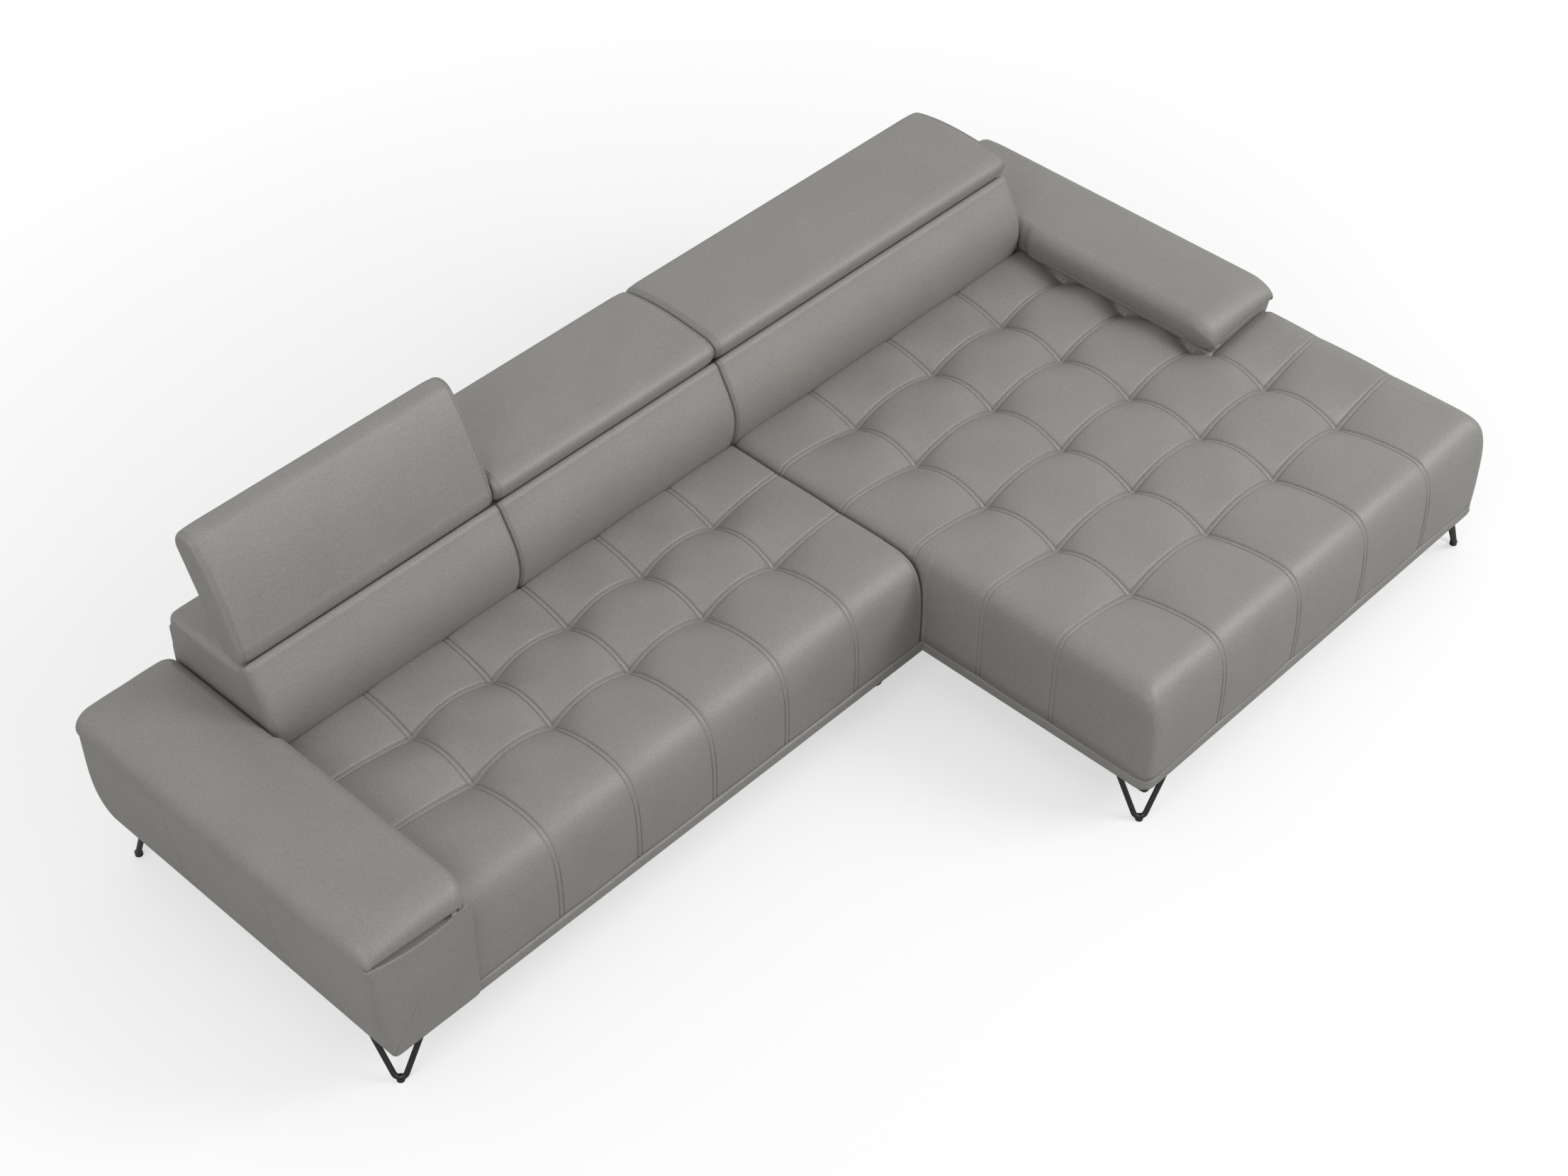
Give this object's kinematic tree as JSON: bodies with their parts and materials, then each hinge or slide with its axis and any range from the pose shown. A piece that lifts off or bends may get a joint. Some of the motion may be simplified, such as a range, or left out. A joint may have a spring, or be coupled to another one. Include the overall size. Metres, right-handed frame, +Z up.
{
  "type": "corner sofa",
  "caption": "Corner sofa in taupe-grey leather with quilted seats, a chaise end, padded arms, folding headrests on a low back, and black bent-rod legs.",
  "frame": {"origin": "on the floor, under the middle of the overall footprint", "axes": "+X along the back from the left arm to the chaise, +Y towards the back, +Z up"},
  "size_m": [3.23, 1.7788, 0.968],
  "materials": {
    "leather": "soft grain, satin",
    "timber": "sawn, unvarnished",
    "webbing": "woven",
    "lining": "matt non-woven",
    "black_metal": "satin powder coat",
    "black_plastic": "matt",
    "zinc_steel": "zinc plated"
  },
  "bodies": {
    "sofa": {"arm_bolts": "zinc_steel", "base_screws": "zinc_steel", "chaise_back_cushion": "leather", "chaise_back_frame": "timber", "chaise_back_webbing": "webbing", "chaise_base_strip": "leather", "chaise_cushion": "leather", "chaise_dust_cover": "lining", "chaise_frame": "timber", "chaise_front_left_leg": "black_metal", "chaise_front_right_leg": "black_metal", "chaise_hinge_brackets": "zinc_steel", "chaise_hinge_pins": "zinc_steel", "chaise_rear_panel": "leather", "chaise_webbing": "webbing", "front_left_leg": "black_metal", "hinge_screws": "zinc_steel", "left_arm_cover": "leather", "left_arm_frame": "timber", "left_arm_pad": "leather", "left_back_cushion": "leather", "left_hinge_brackets": "zinc_steel", "left_hinge_pins": "zinc_steel", "leg_glides": "black_plastic", "middle_back_cushion": "leather", "middle_hinge_brackets": "zinc_steel", "middle_hinge_pins": "zinc_steel", "module_connectors": "zinc_steel", "rear_left_leg": "black_metal", "rear_right_leg": "black_metal", "right_arm_cover": "leather", "right_arm_frame": "timber", "right_arm_pad": "leather", "support_feet": "black_plastic", "two_seat_back_frame": "timber", "two_seat_back_webbing": "webbing", "two_seat_base_strip": "leather", "two_seat_cushion": "leather", "two_seat_dust_cover": "lining", "two_seat_frame": "timber", "two_seat_rear_panel": "leather", "two_seat_webbing": "webbing"},
    "left_headrest": {"left_headrest_pad": "leather", "left_headrest_board": "timber", "left_hinge_arms": "zinc_steel", "left_flange_screws": "zinc_steel"},
    "middle_headrest": {"middle_headrest_pad": "leather", "middle_headrest_board": "timber", "middle_hinge_arms": "zinc_steel", "middle_flange_screws": "zinc_steel"},
    "chaise_headrest": {"chaise_headrest_pad": "leather", "chaise_headrest_board": "timber", "chaise_hinge_arms": "zinc_steel", "chaise_flange_screws": "zinc_steel"}
  },
  "joints": [
    {"name": "left_headrest_tilt", "type": "hinge", "parent": "sofa", "child": "left_headrest", "pos_m": [-0.9415, 0.5915, 0.696], "axis": [1, 0, 0], "range_deg": [-65.5, 0]},
    {"name": "middle_headrest_tilt", "type": "hinge", "parent": "sofa", "child": "middle_headrest", "pos_m": [-0.1845, 0.5915, 0.696], "axis": [1, 0, 0], "range_deg": [0, 65.5]},
    {"name": "chaise_headrest_tilt", "type": "hinge", "parent": "sofa", "child": "chaise_headrest", "pos_m": [0.7575, 0.5915, 0.696], "axis": [1, 0, 0], "range_deg": [0, 65.5]}
  ]
}
